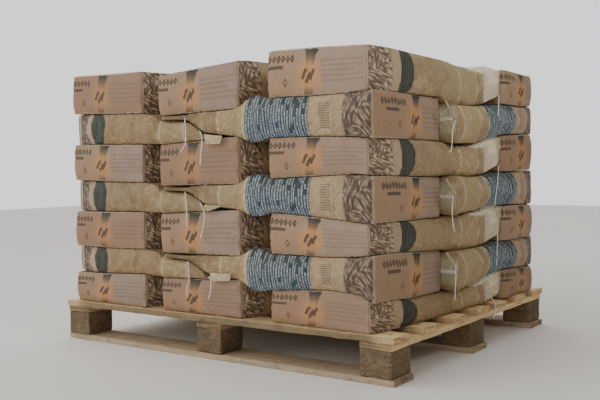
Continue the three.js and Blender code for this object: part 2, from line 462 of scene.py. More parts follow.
# Sacks.
# 35 block-bottom sacks of two-ply kraft paper hold fuel pellets. The bottom is folded square and
# glued, so it stands as a printed end panel, and the mouth is gathered flat and sewn shut. They
# are laid in seven crossed layers and nothing but their weight holds them.
SACK_CELLS = (78, 42, 16)
SIDE_GIRTH = 0.130
FACE_GIRTH = 0.340
LEFT_SIDE = SIDE_GIRTH + FACE_GIRTH
UPPER_FACE, LOWER_FACE = LEFT_SIDE * 0.5, LEFT_SIDE * 1.5
PANEL_WIDTH = 0.395
PANEL_HEIGHT = 0.115
DECK_TOP = 0.1215
LAYER_TOPS = (0.2205, 0.2985, 0.4105, 0.5075, 0.6225, 0.7125, 0.8325)
PAPER_GAP = 0.0008
PAPER_PAINTS = ("lot", "to_mouth", "folded", "inner", "dirt")
PAPER_RELIEF = 0.0018


def kraft_paper():
    """Printed kraft paper. The print follows the paper: on the body, u is the distance from the
    bottom fold and v runs round the sack from the middle of its right side, and the end panel is
    charted apart at u from 2, across it, and v up it. Fibres, creases and scuffs lie over all.
    Each coat of print is a share, from the places of its edges in metres, and a colour."""
    paper = Finish("printed kraft paper", 0.68)
    chart = added(paper.tree, "UVMap", {}, uv_map="print")
    u, v, _ = paper.apart(chart)
    place = paper.place()
    lot, to_mouth, folded, inner, dirt = (
        added(paper.tree, "Attribute", {}, "Fac", attribute_name=name) for name in PAPER_PAINTS
    )
    browner = lot.over(0.3, 0.5)
    wobble = (paper.cloud(chart, 60.0, 2.0) - 0.5) * 0.006
    fibre = paper.cloud(paper.stretched(chart, (1.0, 3.0, 1.0)), 420.0, 2.0, 0.7)
    mottle = paper.cloud(place, 22.0, 4.0, 0.6)
    cloudy = paper.cloud(place, 6.0, 2.0, 0.5)

    def slanted(turn, stretch):
        return paper.stretched(paper.stretched(chart, (1, 1, 1), (0, 0, turn)), (*stretch, 1.0))

    # Pellets: rods heaped in three directions, each a long cell with its own shade
    def rods(slant):
        far, hue, _ = paper.cells(slanted(slant, (38.0, 158.0)), 1.0, "2D")
        shade = paper.mix(hue[0], (108, 89, 71), (182, 160, 133))
        return paper.mix(far.over(0.40, 0.26), shade, (84, 68, 56))

    heap = paper.cells(chart, 24.0, "2D")[1][0]
    pellets = paper.coated(
        rods(0.85), (heap.over(0.52, 0.01), rods(0.35)), (heap.over(0.80, 0.01), rods(1.75))
    )
    # Painted light: the pellets are a little darker all over, but on the right side (v near 0) of
    # every sack without painted shade they are painted much lighter
    pellets = paper.lit(pellets, v.within(0.08, 0.01) * (dirt.flip() * 0.72) + 0.88)
    heap_end = u + wobble + (v * 24.0).worked("SINE") * 0.0025
    off_faces = (v - UPPER_FACE).size().over(0.178, 0.001)
    off_faces = off_faces * (v - LOWER_FACE).size().over(0.178, 0.001)
    off_fold = u.over(0.0028, 0.0008).most(off_faces)

    # Bare kraft, yellower and paler where the sack was folded flat before it was filled, with a
    # painted highlight along each of the two fold lines, and the pellets over it up to a wavy edge
    # A painted highlight along the two fold lines, where a ridge stands
    fold_highlight = folded.within(0.050, 0.04).most((folded - 1).within(0.050, 0.04))
    body = paper.coated(
        paper.mix(mottle.over(0.5, 0.16), (158, 137, 98), (134, 112, 79)),
        (cloudy.over(0.5, 0.2) * 0.5, (163, 138, 106)),
        (browner * 0.4, (140, 112, 76)),
        (folded.between(0.0, 1.0, 0.03) * 0.60, (170, 148, 106)),
        (fold_highlight * 0.60, (198, 174, 140)),
        (heap_end.under(0.084, 0.0012) * off_fold, pellets),
    )
    body = paper.mix(off_fold, (186, 164, 138), body)

    # Where along the sack the print starts past the pellets, the disc, the faces' band and the
    # block of dashes start, and the last two end
    print_start, disc_start, band_start, block_start, block_end = 0.0865, 0.118, 0.130, 0.196, 0.404

    # Right side: a cream band, then a dark green half disc with fine pale strokes
    cream = (178, 151, 122)
    green = paper.mix(mottle, (44, 50, 40), (58, 62, 50))
    disc_far = (u - 0.1026).far(v)
    disc = disc_far.under(0.0854, 0.001) * u.over(disc_start, 0.0008)
    strokes = ((u - disc_start) / 0.0105).part().between(0.36, 0.60, 0.10)
    strokes = strokes * (v / 0.0056).part().between(0.25, 0.80, 0.12)
    body = paper.coated(
        body,
        (v.within(0.098, 0.0015) * u.between(print_start, disc_start, 0.001), cream),
        (disc, green),
        (disc * strokes * disc_far.under(0.070, 0.002) * 0.50, (128, 130, 114)),
    )

    # Left side: paler paper and a patch of bars, then a block of close pale dashes on slate blue
    # under dark tabs. The dashes' lengths and strengths come by chance.
    left = v - LEFT_SIDE
    bars = u.between(0.125, 0.159, 0.0006) * left.within(0.040, 0.0006)
    bars = bars * (left / 0.0073 + 0.5).part().between(0.28, 0.72, 0.09)
    column = (u - block_start) / 0.00867
    number = column.whole()
    row = left / 0.0046 + paper.chance(paper.joined(number, 3.0)) * 5
    word = paper.chance(paper.joined(number, (row * 0.24).whole()))
    letter = paper.chance(paper.joined(number, row.whole(), 2.0))
    dash = column.part().between(0.20, 0.74, 0.08) * row.part().between(0.12, 0.88, 0.12)
    tab = ((u - 0.200) / 0.0365).part().between(0.06, 0.36, 0.02)
    printed = paper.coated(
        paper.mix(left.over(0.0, 0.06), (48, 58, 62), (42, 64, 82)),
        (dash * word.over(0.08, 0.02) * (letter * 0.60 + 0.40) * 0.9, (184, 192, 190)),
        (tab * left.between(-0.068, -0.040, 0.001) * 0.95, (44, 50, 44)),
    )
    body = paper.coated(
        body,
        (left.within(0.080, 0.004) * u.between(print_start, block_start, 0.006) * 0.6,
         (184, 158, 126)),
        (bars * 0.72, (78, 72, 58)),
        (u.between(0.1145, 0.1165, 0.0006) * left.within(0.036, 0.001) * 0.5, (98, 86, 70)),
        (u.between(block_start, block_end, 0.0008) * left.within(0.088, 0.0008), printed),
        (u.between(block_end, 0.411, 0.0008) * left.within(0.088, 0.001) * 0.8, (190, 174, 142)),
    )

    # Upper and lower face: a green band along the middle between two cream lines, and a disc
    face_middle = (v - UPPER_FACE).size().least((v - LOWER_FACE).size())
    on_face = v.between(0.075, 0.395, 0.002).most(v.between(0.545, 0.865, 0.002))
    along = u.between(band_start, block_end, 0.001)
    round_far = (u - 0.250).far(face_middle)
    body = paper.coated(
        body,
        (on_face * u.between(print_start, band_start, 0.001), cream),
        (face_middle.under(0.046, 0.001) * along, green),
        (face_middle.between(0.050, 0.054, 0.0008) * along, cream),
        (round_far.under(0.070, 0.001), (186, 124, 64)),
        (round_far.between(0.074, 0.078, 0.001), cream),
    )

    # End panel: orange-tan to the left, greyer to the right, browner on some sacks than on others.
    # A row of hollow lozenges over a bar, a ring and a diamond, a green band behind a printed
    # orange glow with three slanting strokes, and rows of broken lines are printed. Two pale
    # creases at the right corner and a pale line along the right edge are painted highlights.
    e, h = u - 2.0, v
    brown = (70, 54, 42)
    slot_place = (((e - 0.040) / 0.0156).part() - 0.5).size() * 0.0156
    lozenge_far = slot_place * 1.50 + (h - 0.0925).size()
    lozenges = lozenge_far.under(0.0116, 0.0008) * e.between(0.040, 0.1648, 0.0002)
    bar = e.between(0.062, 0.128, 0.0008) * h.between(0.0675, 0.0765, 0.0008)
    ring_far = (e - 0.061).far(h - 0.034)
    diamond_far = (e - 0.133).size() * 1.6 + (h - 0.033).size()
    band_far = (e - 0.217 - (h - 0.080) * 0.12).size() - (h - 0.082).most(0) * 0.25
    glow_e, glow_h = e - 0.212, h - 0.048
    glow_far = (glow_e * glow_e + glow_h * glow_h * 0.9).worked("POWER", 0.5)
    glow = paper.mix(browner * 0.6, (194, 143, 92), (164, 120, 80))

    stroke_middles, slant = ((0.197, 0.052), (0.210, 0.043), (0.223, 0.050)), 0.5

    def slanting_stroke(middle_e, middle_h):
        off_e, off_h = e - middle_e, h - middle_h
        reach = (off_e * math.sin(slant) + off_h * math.cos(slant)).within(0.0150, 0.001)
        across = off_e * math.cos(slant) - off_h * math.sin(slant)
        return reach * across.within(0.0046, 0.0008) * 0.85

    line = (h - 0.026) / 0.0128
    broken = paper.chance(paper.joined((e / 0.0210).whole(), line.whole())).over(0.12, 0.02)
    lines = line.part().between(0.24, 0.70, 0.14) * h.between(0.026, 0.0895, 0.0005)
    lines = lines * e.between(0.252, 0.380, 0.002)
    from_edge = e - 0.392
    # Two pale lines from the right corner: painted highlights on creases
    corner_crease_highlight = (h - 0.113 - from_edge * 0.62).size().least((h - 0.004 + from_edge * 0.9).size())
    panel = paper.coated(
        paper.mix(e.over(0.215, 0.10), (167, 135, 103), (163, 141, 123)),
        (mottle.over(0.5, 0.2) * 0.5, (150, 124, 102)),
        (browner * 0.75, (146, 112, 86)),
        (lozenges * lozenge_far.over(0.0030, 0.0008) * 0.9, brown),
        (bar * 0.85, brown),
        (ring_far.between(0.0085, 0.0115, 0.0006) * 0.3, (108, 86, 68)),
        (diamond_far.between(0.0060, 0.0130, 0.0008) * 0.75, (92, 48, 32)),
        (band_far.under(0.0140, 0.0015), green),
        (glow_far.under(0.046, 0.016) * 0.45, glow),
        (glow_far.under(0.032, 0.008) * 0.80, glow),
        *((slanting_stroke(*middle), (66, 50, 40)) for middle in stroke_middles),
        (lines * broken * 0.32, (104, 84, 74)),
        (corner_crease_highlight.under(0.0014, 0.0012) * e.over(0.355, 0.012) * 0.22, (196, 176, 150)),
        # A pale line along the right edge: a painted highlight on the fold
        (e.over(0.3895, 0.001) * 0.6, (206, 188, 164)),
    )

    # The whole sack, with the inner ply where it shows, greyer on pinched mouths as a painted
    # shade, and the stitches along the mouth
    on_panel = u.over(1.5, 0.01)
    stitch = to_mouth.under(0.0024, 0.0006) * (v / 0.009).part().between(0.12, 0.80, 0.06)
    colour = paper.coated(
        body,
        (on_panel, panel),
        (inner, paper.mix(dirt, (238, 223, 196), (196, 196, 170))),
        (stitch, (226, 218, 204)),
    )

    # Creases: soft folds of two sizes, most of them slanting across the sack, with a painted
    # highlight on their backs and the paper a little darker elsewhere
    def folds(scale, stretch, turn, width):
        drawn = slanted(turn, (1.0, stretch))
        return (paper.cloud(drawn, scale, 2.0, 0.5, 0.3) - 0.5).within(width, width)

    slack = u.over(0.16, 0.09) * 0.75 + 0.25
    large = folds(11.0, 3.2, 0.9, 0.035)
    small = folds(24.0, 3.4, -0.75, 0.050) * paper.cloud(place, 5.0, 1.0).over(0.52, 0.14)
    wrinkle_highlight = (large * 0.14 + small * 0.40) * (on_panel.flip() * slack * 0.85 + 0.15)
    scuff = paper.cloud(place, 46.0, 5.0, 0.72)
    colour = paper.coated(
        paper.lit(colour, wrinkle_highlight + 0.95),
        (scuff.over(0.66, 0.06) * 0.15, (184, 166, 136)),
        (scuff.under(0.34, 0.06) * 0.15, (104, 86, 66)),
    )
    colour = paper.lit(colour, (fibre - 0.5) * 0.20 + lot * 0.05 + 0.98)
    height = (large * 0.9 + small * 0.8) * (on_panel.flip() * 0.7 + 0.3)
    height = height + paper.cloud(place, 26.0, 3.0, 0.5) * 1.4 + fold_highlight * 0.8 + fibre * 0.08
    relief = paper.relief(height, PAPER_RELIEF)
    return paper.done(colour, Roughness=fibre * 0.12 + 0.60, Normal=relief)


paper_finish = kraft_paper()


def cubic(t, here, there, leave, reach, width=1):
    """The cubic from here to there as t goes from 0 to 1 over the width, with these end slopes."""
    return (
        (2 * t**3 - 3 * t**2 + 1) * here + (t**3 - 2 * t**2 + t) * width * leave
        + (3 * t**2 - 2 * t**3) * there + (t**3 - t**2) * width * reach
    )


def through(at, knots, values):
    """Values between the knots on a curve that never overshoots them: each stretch is a cubic
    whose end slopes are the harmonic mean of the slopes on both sides, or 0 at a turning point."""
    knots = np.asarray(knots, float)
    rise = np.diff(values, axis=0) / np.diff(knots)[:, None]
    before, after = rise[:-1], rise[1:]
    same = before * after > 0
    inner = np.where(same, 2 * before * after / np.where(same, before + after, 1.0), 0.0)
    slope = np.concatenate([rise[:1], inner, rise[-1:]])
    place = np.clip(np.searchsorted(knots, at, side="right") - 1, 0, len(knots) - 2)
    width = (knots[place + 1] - knots[place])[:, None]
    t = (at - knots[place])[:, None] / width
    return cubic(t, values[place], values[place + 1], slope[place], slope[place + 1], width)


# A sack's rows run from the bottom fold to the mouth. A row has its distance along the paper, the
# place along the sack and the height (in hundredths of the layer's) of the top sheet and of the
# bottom sheet, what the half width loses, the depth of the bulge of the sides, and how far the
# side pleats are tucked in, all but the heights in millimetres.
ROW_UNITS = (1000, 1000, 100, 1000, 100, 1000, 1000, 1000)
FILLED_ROWS = [
    (0, 0, 98, 0, 2, 2, 3, 0),
    (4, 4, 100, 4, 0, 0, 5, 0),
    (18, 18, 100, 18, 0, 0, 8, 0),
    (60, 60, 100, 60, 0, 0, 16, 0),
    (130, 130, 100, 130, 0, 0, 28, 0),
    (240, 240, 100, 240, 0, 0, 40, 0),
]
TURNED_UP_MOUTH = [
    (360, 360, 98, 360, 0, 0, 40, 0),
    (440, 440, 93, 440, 0, 0, 40, 0),
    (520, 520, 94, 520, 1, 0, 36, 0),
    (570, 568, 97, 570, 3, 0, 30, 0),
    (584, 580, 98, 582, 5, 3, 22, 1),
    (612, 604, 100, 608, 13, 5, 12, 2),
    (640, 634, 100, 631, 20, 4, 6, 3),
    (656, 648, 101, 640, 27, 4, 4, 3),
    (700, 656, 100, 651, 92, 6, 3, 2),
]
PINCHED_MOUTH = [
    (540, 540, 100, 540, 0, 0, 38, 0),
    (582, 582, 100, 582, 0, 0, 26, 0),
    (603, 601, 97, 601, 3, 1, 10, 2),
    (630, 608, 76, 608, 25, 2, 6, 4),
    (662, 617, 53, 617, 48, 3, 3, 4),
]
UPPER_MOUTH = [
    (360, 360, 100, 360, 0, 0, 40, 0),
    (450, 450, 100, 450, 2, 0, 34, 0),
    (490, 490, 100, 490, 8, 0, 28, 2),
    (520, 518, 99, 518, 16, 1, 22, 6),
    (555, 550, 100, 548, 24, 1, 15, 12),
    (585, 578, 99, 574, 42, 2, 10, 14),
    (615, 606, 97, 600, 65, 2, 6, 10),
    (635, 622, 95, 620, 78, 3, 4, 4),
    (680, 665, 95, 665, 83, 3, 3, 0),
    (730, 715, 98, 715, 87, 4, 2, 0),
]
LOWER_MOUTH = [
    (365, 365, 100, 365, 0, 0, 40, 0),
    (390, 390, 97, 390, 0, 0, 39, 0),
    (418, 415, 84, 418, 0, 0, 38, 0),
    (432, 429, 81, 432, 0, 0, 37, 0),
    (480, 476, 77, 480, 0, 0, 36, 0),
    (525, 520, 71, 525, 0, 0, 34, 2),
    (550, 542, 61, 552, 0, 1, 28, 4),
    (578, 562, 46, 574, 0, 2, 18, 6),
    (605, 580, 28, 586, 0, 2, 12, 6),
    (625, 588, 14, 592, 0, 3, 6, 6),
    (640, 594, 5, 595, 1, 4, 2, 4),
]

# How the five sacks of a layer lie: the mouth, the way from the end panel to it in degrees from
# +X, how round the sides are, as a share of the rows' bulge, and then in millimetres the middle of
# the end panel, the half width of the panel and of the body to the sack's left and right, the
# radius of the panel's left and right corner, how far the mouth's left and right corners swing
# out, and between which distances from the bottom the paper was folded flat before it was filled.
ODD_LAYER = {
    "front_left": (TURNED_UP_MOUTH, 90.0, 0.45,
                   (-411, -485), (166, 152), (187, 185), (22, 6), (0, 0), (420, 525)),
    "front_middle": (TURNED_UP_MOUTH, 90.0, 0.45,
                     (-37, -485), (163, 148), (185, 185), (22, 6), (0, 0), (395, 515)),
    "front_right": (TURNED_UP_MOUTH, 87.6, 0.40,
                    (368, -485), (168, 161), (190, 190), (22, 5), (0, 40), (425, 528)),
    "back_left": (UPPER_MOUTH, 0.0, 0.50,
                  (-588, 325), (170, 172), (175, 175), (8, 22), (0, 0), (410, 503)),
    "back_right": (LOWER_MOUTH, 180.0, 0.50,
                   (588, 325), (124, 124), (175, 175), (30, 30), (0, 0), (425, 520)),
}
EVEN_LAYER = {
    "back_right": (PINCHED_MOUTH, -90.0, 0.75,
                   (411, 471), (168, 152), (194, 185), (6, 22), (10, 0), (466, 566)),
    "back_middle": (PINCHED_MOUTH, -90.0, 0.60,
                    (37, 485), (152, 152), (185, 185), (22, 6), (0, 0), (466, 572)),
    "back_left": (PINCHED_MOUTH, -92.4, 0.85,
                  (-368, 485), (155, 161), (190, 190), (22, 5), (0, 26), (466, 572)),
    "front_right": (UPPER_MOUTH, 180.0, 0.50,
                    (548, -325), (176, 194), (176, 172), (5, 20), (0, 0), (410, 503)),
    "front_left": (LOWER_MOUTH, 0.0, 0.50,
                   (-602, -325), (150, 117), (175, 175), (40, 10), (0, 0), (425, 520)),
}

# How high the top of each layer is above or below its mean height along the four edges of the
# stack: the place along the edge, and the seven layers from the bottom up, all in millimetres.
FRONT_EDGE = {
    -560: (-9, -8, -2, -7, -3, 0, 2), -262: (3, 0, 0, -8, -9, -8, -2),
    -175: (-2, -8, -2, -20, -12, -20, -19), 100: (11, -4, 15, -14, 5, -12, 0),
    195: (-8, 6, 10, 0, -1, 7, 16), 235: (-10, 8, 8, 2, -3, 12, 18),
    500: (12, 8, -8, 14, -4, 8, 12), 562: (-26, 24, -14, 8, -16, 18, 8),
}
RIGHT_EDGE = {
    -470: (-26, 24, -14, 8, -16, 18, 4), -300: (-34, 14, -16, 4, -15, 15, 0),
    -150: (-36, 6, -18, 2, -18, 14, -3), -120: (-34, 0, -10, 2, -24, -6, -4),
    15: (-26, -3, -4, -4, -22, -5, -6), 110: (-14, 0, 2, 0, -8, 2, 0),
    190: (-6, 2, 2, 6, 4, 8, -4), 430: (-16, 1, -5, 9, 11, 9, -10),
}
BACK_EDGE = {
    -560: (8, -20, 12, -9, 14, -12, 4), -330: (5, -6, 4, -12, 8, -5, 5),
    30: (-7, 4, -9, 6, -4, 8, -6), 330: (6, -8, 9, -6, 7, -9, 3), 585: (-16, 1, -5, 9, 11, 9, -10),
}
LEFT_EDGE = {
    -400: (-6, 5, -6, 3, -5, 4, 3), -220: (6, -9, -4, 6, -8, 5, -6),
    140: (4, -22, 14, -10, 10, -12, 2), 300: (10, -24, 10, -8, 12, -13, -4),
    470: (8, -20, 12, -9, 14, -12, 4),
}
# An edge's heights hold for three centimetres from it and fade out over about the next ten.
STACK_HALF_X, STACK_HALF_Y = 0.600, 0.500
EDGE_FLAT, EDGE_REACH = 0.03, 0.10


def layer_top(layer, x, y):
    """The height between a layer and the next at x and y: the layer's mean height and, near an
    edge of the stack, what that edge has there, read off straight lines between its places. An
    edge's weight falls off inwards as a bell does, and where two edges meet they share."""
    if layer == 0:
        return np.full_like(x, DECK_TOP)
    total, weight = np.zeros_like(x), np.zeros_like(x)
    for edge, along, inward in (
        (FRONT_EDGE, x, y + STACK_HALF_Y), (BACK_EDGE, x, STACK_HALF_Y - y),
        (RIGHT_EDGE, y, STACK_HALF_X - x), (LEFT_EDGE, y, x + STACK_HALF_X),
    ):
        near = np.exp(-((np.clip(inward - EDGE_FLAT, 0, None) / EDGE_REACH) ** 2))
        heights = [row[layer - 1] / 1000 for row in edge.values()]
        total += near * np.interp(along, np.array(list(edge)) / 1000, heights)
        weight += near
    return LAYER_TOPS[layer - 1] + total / np.maximum(weight, 1)


def panel_outline(share, half_left, half_right, corners):
    """The end panel's outline seen from above, for shares of its width from left to right: along
    the left side, round the left corner, across, round the right corner and along the right side.
    What the panel is wider than the sack's end is folded back along the sides, most of it on the
    side with the rounder corner. Returns how far back and how far to the left each point is."""
    left, right = corners
    quarter = math.pi / 2
    arc_left, arc_right = quarter * left, quarter * right
    flat = half_left + half_right - left - right
    spare = max(PANEL_WIDTH - arc_left - arc_right - flat, 0.0)
    side_left = spare * left**2 / (left**2 + right**2)
    first = share * (flat + arc_left + arc_right + spare) - side_left
    turn_left = np.clip(first / left, 0, quarter)
    turn_right = np.clip((first - arc_left - flat) / right, 0, quarter)
    back = np.clip(-first, 0, None)
    back = back + left * (1 - np.sin(turn_left)) + right * (1 - np.cos(turn_right))
    back = back + np.clip(first - arc_left - flat - arc_right, 0, None)
    across = np.clip(first - arc_left, 0, flat)
    to_left = half_left - left + left * np.cos(turn_left) - across - right * np.sin(turn_right)
    return back, to_left


def ease(t, rise):
    """A smooth step from 0 at t = 0 to the rise at t = 1, level at both."""
    return rise * t**2 * (3 - 2 * t)


skin_steps, skin_quads, skin_side = box_skin(SACK_CELLS)
skin_quads = skin_quads[:, ::-1]
step_row, step_across, step_up = skin_steps.T
EDGE_SHARES = np.array([0, 0.008, 0.022])
across_shares = np.linspace(0.04, 0.96, SACK_CELLS[1] - 5)
across_shares = np.concatenate([EDGE_SHARES, across_shares, 1 - EDGE_SHARES[::-1]])
across = across_shares[step_across]
angle = (step_up / SACK_CELLS[2] - 0.5) * math.pi
up = (1 + np.sin(angle)) / 2

# How the shape of the end panel fades out along the sack: its width by these shares at these
# distances, its folded back sides over one distance and its corners over another. Then how far
# the panel swells out, how far the shoulders of a turned up mouth are drawn in, where they start
# and how long they are, and the shares of the width and the stretch in which corners swing out.
SPREAD_DISTANCES = (0, 0.004, 0.018, 0.060, 0.130, 0.230)
SPREAD_SHARES = (1, 1, 0.80, 0.50, 0.17, 0)
BACK_FADE, CORNER_FADE = 0.30, 0.05
PANEL_SWELL = 0.007
SHOULDER, SHOULDER_START, SHOULDER_LENGTH = 0.020, 0.50, 0.15
SWING_LEFT, SWING_RIGHT, SWING_START, SWING_LENGTH = 0.16, 0.28, 0.16, 0.13


def sack_points(plan, layer, presses):
    """Where a sack's skin lies before its creases. Each point has a row (how far along), a share
    across from left to right, and an angle up the bulging side from -90 to 90 degrees. The half
    width less bulge * (1 - cosine) less the tuck at mid height is its place across, the sine is
    its share of the height between the sheets, and the panel's outline fades out along the sack.
    A turned up mouth has sloping shoulders. A press raises or lowers the sheet as a bell does
    about its spot."""
    mouth, turn, roundness, *lengths = plan
    (x0, y0), end_half, half, corners, swings, _ = np.array(lengths) / 1000
    table = np.array(FILLED_ROWS + mouth) / ROW_UNITS
    last = table[-1, 0]
    rows = np.concatenate([[0, 0.004, 0.010], np.linspace(0.019, last, SACK_CELLS[0] - 2)])
    sheets = through(rows, table[:, 0], table[:, 1:])[step_row]
    top_x, top_z, low_x, low_z, lost, bulge, tuck = sheets.T
    shares = np.array([*SPREAD_SHARES, 0])[:, None]
    spread = through(rows, (*SPREAD_DISTANCES, last), shares)[step_row, 0]
    distance = rows[step_row]
    pulled = lost + roundness * bulge * (1 - np.cos(angle)) + tuck * (1 - np.abs(2 * up - 1))
    if mouth is TURNED_UP_MOUTH:
        shoulder = np.clip((distance - SHOULDER_START) / SHOULDER_LENGTH, 0, 1)
        pulled = pulled + SHOULDER * shoulder * np.clip((up - 1 + 0.5 * shoulder) / 0.5, 0, 1)
    left, right = (
        wide - (wide - at_end) * spread - pulled for wide, at_end in zip(half, end_half)
    )
    panel_back, panel_left = panel_outline(across, *end_half, corners)
    straight = (1 - across) * end_half[0] - across * end_half[1]
    to_left = (1 - across) * left - across * right
    corner_share = np.clip(1 - distance / CORNER_FADE, 0, None) ** 2
    to_left = to_left + (panel_left - straight) * corner_share
    along = low_x + (top_x - low_x) * up
    along = along + panel_back * np.clip(1 - distance / BACK_FADE, 0, None) ** 2
    swell = (1 - np.abs(2 * across - 1) ** 3) * (1 - np.abs(2 * up - 1) ** 2.5)
    along = along - np.where(step_row == 0, PANEL_SWELL * swell, 0.0)
    outer_left = np.clip(1 - across / SWING_LEFT, 0, 1)
    outer_right = np.clip(1 - (1 - across) / SWING_RIGHT, 0, 1)
    reach = ease(outer_left, swings[0]) + ease(outer_right, swings[1])
    swung = np.clip((distance - last + SWING_START) / SWING_LENGTH, 0, 1)
    along = along + ease(swung, reach)
    cosine, sine = math.cos(math.radians(turn)), math.sin(math.radians(turn))
    x = x0 + along * cosine - to_left * sine
    y = y0 + along * sine + to_left * cosine
    below = layer_top(layer - 1, x, y) + PAPER_GAP / 2
    above = layer_top(layer, x, y) - PAPER_GAP / 2
    z = below + (above - below) * (low_z + (top_z - low_z) * up)
    for spot_x, spot_y, wide, deep, rise in presses:
        near = np.exp(-(((x - spot_x) / wide) ** 2) - ((y - spot_y) / deep) ** 2)
        z = z + near * rise * (up if rise > 0 else 1 - up) ** 2
    return np.column_stack([x, y, z]), distance, last


def outward(points, quads):
    """The unit normals at the points: the sum of the crossed diagonals of the quads at each."""
    corner = points[quads]
    face = np.cross(corner[:, 2] - corner[:, 0], corner[:, 3] - corner[:, 1])
    total = np.zeros_like(points)
    for number in range(4):
        np.add.at(total, quads[:, number], face)
    return unit(total)


lane_order = np.lexsort((step_row, step_up, step_across))
lane_next = np.diff(step_row[lane_order]) == 1
MOUTH_EDGE_CHART = 0.3
SLIP_LENGTH = 0.02


def print_chart(points, distance, drawn_from, slip):
    """The paper chart at each quad's corners: the way along the paper from the bottom fold, and the
    way round from the middle of the right side, up it, over the top to the left, down the left
    side and back underneath. The way along is the rows' distance up to drawn_from, and from there
    it is summed up from row to row. The print is drawn by slip, over the first two centimetres,
    towards the bottom. The end panel is charted at 2 plus the place across it, and the height."""
    step = np.linalg.norm(np.diff(points[lane_order], axis=0), axis=1)
    step = np.where(distance[lane_order][1:] > drawn_from, step, np.diff(distance[lane_order]))
    walked = np.concatenate([[0], np.cumsum(np.where(lane_next, step, 0.0))])
    starts = np.where(np.concatenate([[True], ~lane_next]), walked, 0.0)
    path = np.empty(len(points))
    path[lane_order] = walked - np.maximum.accumulate(starts)
    path += slip * np.minimum(path / SLIP_LENGTH, 1)
    side_up = 0.2 * step_up[skin_quads] / SACK_CELLS[2] + 0.8 * up[skin_quads]
    over = across[skin_quads]
    side = skin_side[:, None]
    return np.stack([
        np.where(side == 0, 2 + over * PANEL_WIDTH, path[skin_quads]),
        np.choose(side, [
            up[skin_quads] * PANEL_HEIGHT,
            MOUTH_EDGE_CHART,
            SIDE_GIRTH / 2 + FACE_GIRTH + SIDE_GIRTH * (1 - side_up),
            SIDE_GIRTH * (side_up - 0.5),
            SIDE_GIRTH * 1.5 + FACE_GIRTH + FACE_GIRTH * over,
            SIDE_GIRTH / 2 + FACE_GIRTH * (1 - over),
        ]),
    ], -1)


RIDGE_AT, TOP_LINE_AT, EAR_LINE_AT, PINCHED_END = 0.580, 0.470, 0.614, 0.044


def pale_ply_and_painted_light(mouth, distance, from_mouth):
    """How much of the pale inner ply shows; its strength also paints light and shade. On a turned
    up mouth it shows past the ridge where the filling ends, stronger on the ear and over a line
    that falls from the top sheet to that ridge, a painted light on these facets, and weaker below
    the ear, a painted shade. On a pinched one it shows on the end."""
    if mouth is TURNED_UP_MOUTH:
        past = np.clip((distance - RIDGE_AT) / 0.005, 0, 1)
        over = np.clip((up - 0.99 + 1.9 * (distance - TOP_LINE_AT)) / 0.04, 0, 1)
        over = over * (distance > TOP_LINE_AT)
        ear = np.clip((distance - EAR_LINE_AT + 0.020 * (1 - up)) / 0.004, 0, 1)
        ear = ear * np.clip((up - 0.42) / 0.06, 0, 1)
        return np.minimum(np.maximum(0.55 * past, 0.85 * over) + 0.32 * ear * past, 0.95)
    if mouth is PINCHED_MOUTH:
        return 0.45 * np.clip((PINCHED_END - from_mouth) / 0.005, 0, 1)
    return np.zeros_like(distance)


# The sewn strip of a lower mouth, folded over and hanging from its corner: the four corners as x
# and height from the layer's middle, from the upper left round by the right. The strips of the
# even layers' fronts are repeated behind in the odd layers.
FOLDED_STRIPS = {
    6: ((-0.002, -0.0325), (0.067, -0.0395), (0.056, -0.0615), (0.008, -0.0605)),
    4: ((-0.005, -0.0220), (0.066, -0.0240), (0.007, -0.0410), (-0.004, -0.0370)),
    2: ((0.012, -0.0135), (0.090, -0.0115), (0.083, -0.0315), (0.017, -0.0365)),
}
STRIP_LIKE = {7: 6, 6: 6, 5: 6, 4: 4, 3: 4, 2: 2, 1: 2}
STRIP_Y = -0.5005
STRIP_BOW, STRIP_THICKNESS = 0.0030, 0.0011
LAYER_MIDDLES = dict(zip(range(1, 8), (0.1710, 0.2595, 0.3545, 0.4590, 0.5650, 0.6675, 0.7725)))
STRIP_CELLS = (14, 6, 1)
STRIP_CHART, STRIP_CHART_STEP = np.array([0.45, 0.30]), 0.004
strip_steps, strip_quads, _ = box_skin(STRIP_CELLS)
strip_quads = strip_quads[:, ::-1]

# The corner of the block bottom of an upper mouth's sack, which stands out as a narrow ear beside
# the end panel: its four corners as x, y and height from the layer's middle. In an odd layer it
# stands farther in.
EAR = (
    (0.5900, -0.1960, 0.0430), (0.5900, -0.1860, 0.0440),
    (0.6000, -0.1480, -0.0030), (0.6000, -0.1570, -0.0060),
)
ODD_EAR_IN = 0.012


def folded_strip(layer, corners, depth_way):
    """The points of a strip of paper a millimetre thick between four corners, bowed a little
    outwards. In an odd layer it is turned half round."""
    corners = np.array(corners)
    share, drop, depth = (strip_steps / STRIP_CELLS).T[:, :, None]
    top = corners[0] + (corners[1] - corners[0]) * share
    low = corners[3] + (corners[2] - corners[3]) * share
    bow = STRIP_BOW * np.sin(share * 2.6 + drop) + STRIP_THICKNESS * depth
    points = top + (low - top) * drop + bow * np.array(depth_way)
    turned = -1 if layer % 2 else 1
    return points * (turned, turned, 1) + (0, 0, LAYER_MIDDLES[layer])


def joined_strip(mouth, layer):
    """The strip of paper that belongs to a sack with this mouth, if there is one."""
    if mouth is UPPER_MOUTH:
        corners = [(x - ODD_EAR_IN * (layer % 2), y, z) for x, y, z in EAR]
        return folded_strip(layer, corners, (0.9, -0.4, 0.0))
    if mouth is LOWER_MOUTH:
        corners = [(x, STRIP_Y, z) for x, z in FOLDED_STRIPS[STRIP_LIKE[layer]]]
        return folded_strip(layer, corners, (0.0, -1.0, 0.0))
    return None


